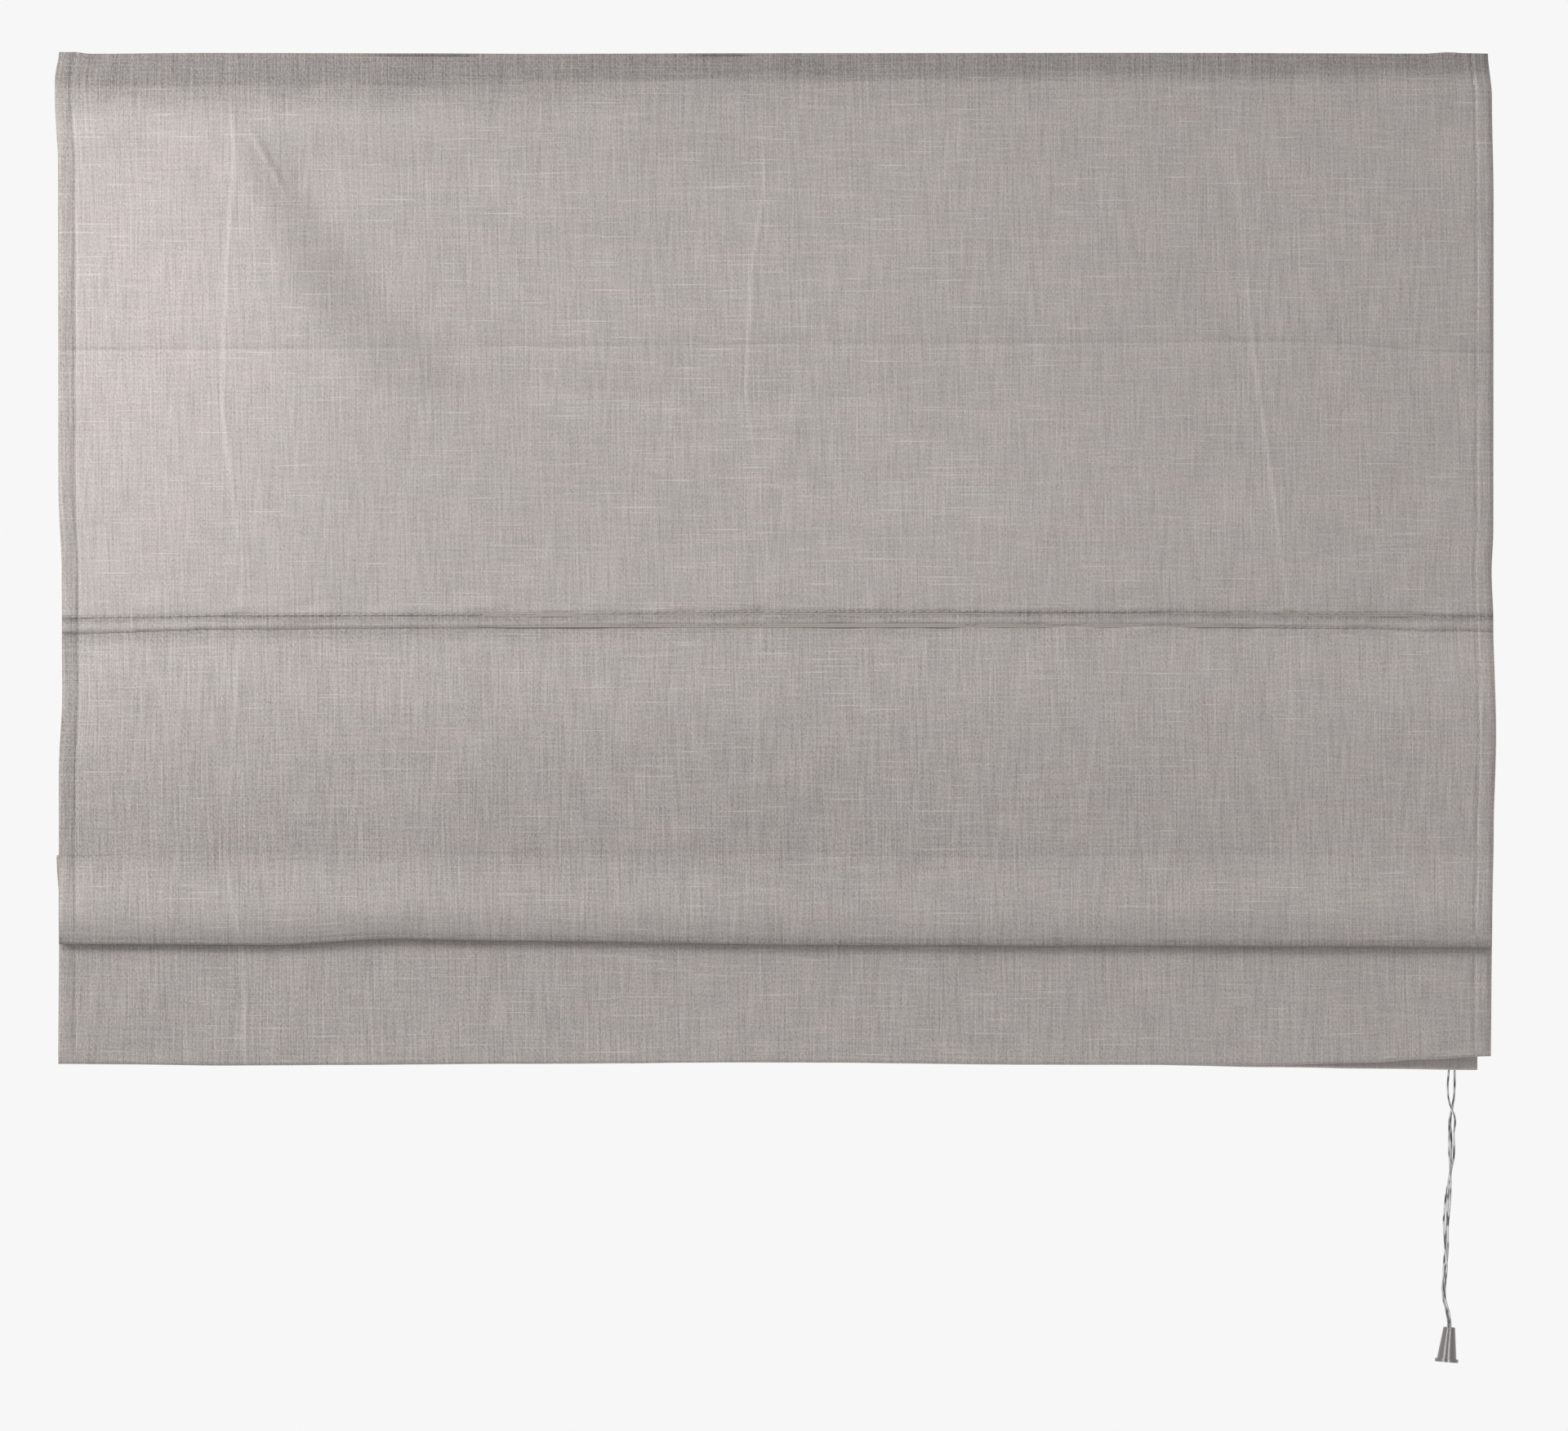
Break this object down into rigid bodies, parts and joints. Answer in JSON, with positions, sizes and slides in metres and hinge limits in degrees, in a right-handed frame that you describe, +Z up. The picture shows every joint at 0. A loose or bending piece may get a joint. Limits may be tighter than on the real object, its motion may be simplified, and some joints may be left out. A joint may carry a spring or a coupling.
{
  "type": "roman blind",
  "caption": "Corded roman blind drawn up part of the way: folded linen-look cloth on a screw-fixed batten, with rods, rings, lift cords, a cord lock and a metal tassel.",
  "frame": {"origin": "on the batten's top face, midway between the two screw holes", "axes": "+X across the window to the viewer's right, +Y from the room towards the wall, +Z up"},
  "size_m": [1.2, 0.0461, 1.0968],
  "materials": {
    "pine": "planed",
    "grip_tape": "woven hook and loop tape",
    "linen_cloth": "linen weave with slubs",
    "glass_fibre_rod": "drawn",
    "pocket_tape": "woven tape",
    "ring_plastic": "moulded",
    "bar_aluminium": "mill",
    "zinc_steel": "zinc plated",
    "lock_plastic": "moulded",
    "pin_brass": "knurled",
    "cord_fibre": "braided",
    "satin_nickel": "satin"
  },
  "bodies": {
    "root": {"head_batten": "pine", "hook_tape": "grip_tape", "loop_tape": "grip_tape", "cloth": "linen_cloth", "screw_eye_left": "zinc_steel", "screw_eye_middle": "zinc_steel", "screw_eye_right": "zinc_steel", "cord_lock_housing": "lock_plastic", "cord_lock_bar": "zinc_steel", "cord_lock_screws": "zinc_steel", "lift_cord_left": "cord_fibre", "lift_cord_middle": "cord_fibre", "lift_cord_right": "cord_fibre", "pull_cord_left": "cord_fibre", "pull_cord_middle": "cord_fibre", "pull_cord_right": "cord_fibre"},
    "upper_stiffener": {"upper_rod": "glass_fibre_rod", "upper_pocket": "pocket_tape", "upper_rings": "ring_plastic"},
    "middle_stiffener": {"middle_rod": "glass_fibre_rod", "middle_pocket": "pocket_tape", "middle_rings": "ring_plastic"},
    "lower_stiffener": {"lower_rod": "glass_fibre_rod", "lower_pocket": "pocket_tape", "lower_rings": "ring_plastic", "lift_knots": "cord_fibre", "bottom_bar": "bar_aluminium"},
    "tassel": {"tassel": "satin_nickel", "tassel_knot": "cord_fibre"},
    "locking_pin": {"cord_lock_pin": "pin_brass"}
  },
  "joints": [
    {"name": "lift", "type": "slide", "parent": "root", "child": "upper_stiffener", "axis": [0, 0, 1], "range_m": [0, 0.425], "deforming": ["cloth", "lift_cord_left", "lift_cord_middle", "lift_cord_right"]},
    {"name": "gather_middle", "type": "slide", "parent": "upper_stiffener", "child": "middle_stiffener", "axis": [0, 0, 1], "range_m": [0, 0.056], "deforming": ["cloth"]},
    {"name": "gather_lower", "type": "slide", "parent": "middle_stiffener", "child": "lower_stiffener", "axis": [0, 0, 1], "range_m": [0, 0.103], "deforming": ["cloth"]},
    {"name": "pull", "type": "slide", "parent": "root", "child": "tassel", "axis": [0, 0, -1], "range_m": [0, 0.584], "deforming": ["pull_cord_left", "pull_cord_middle", "pull_cord_right"]},
    {"name": "lock", "type": "slide", "parent": "root", "child": "locking_pin", "axis": [0.5, 0, 0.866], "range_m": [0, 0.005]}
  ],
  "couplings": [
    {"joint": "gather_middle", "follows": "lift", "ratio": 0.13},
    {"joint": "gather_lower", "follows": "lift", "ratio": 0.24},
    {"joint": "pull", "follows": "lift", "ratio": 1.37}
  ]
}
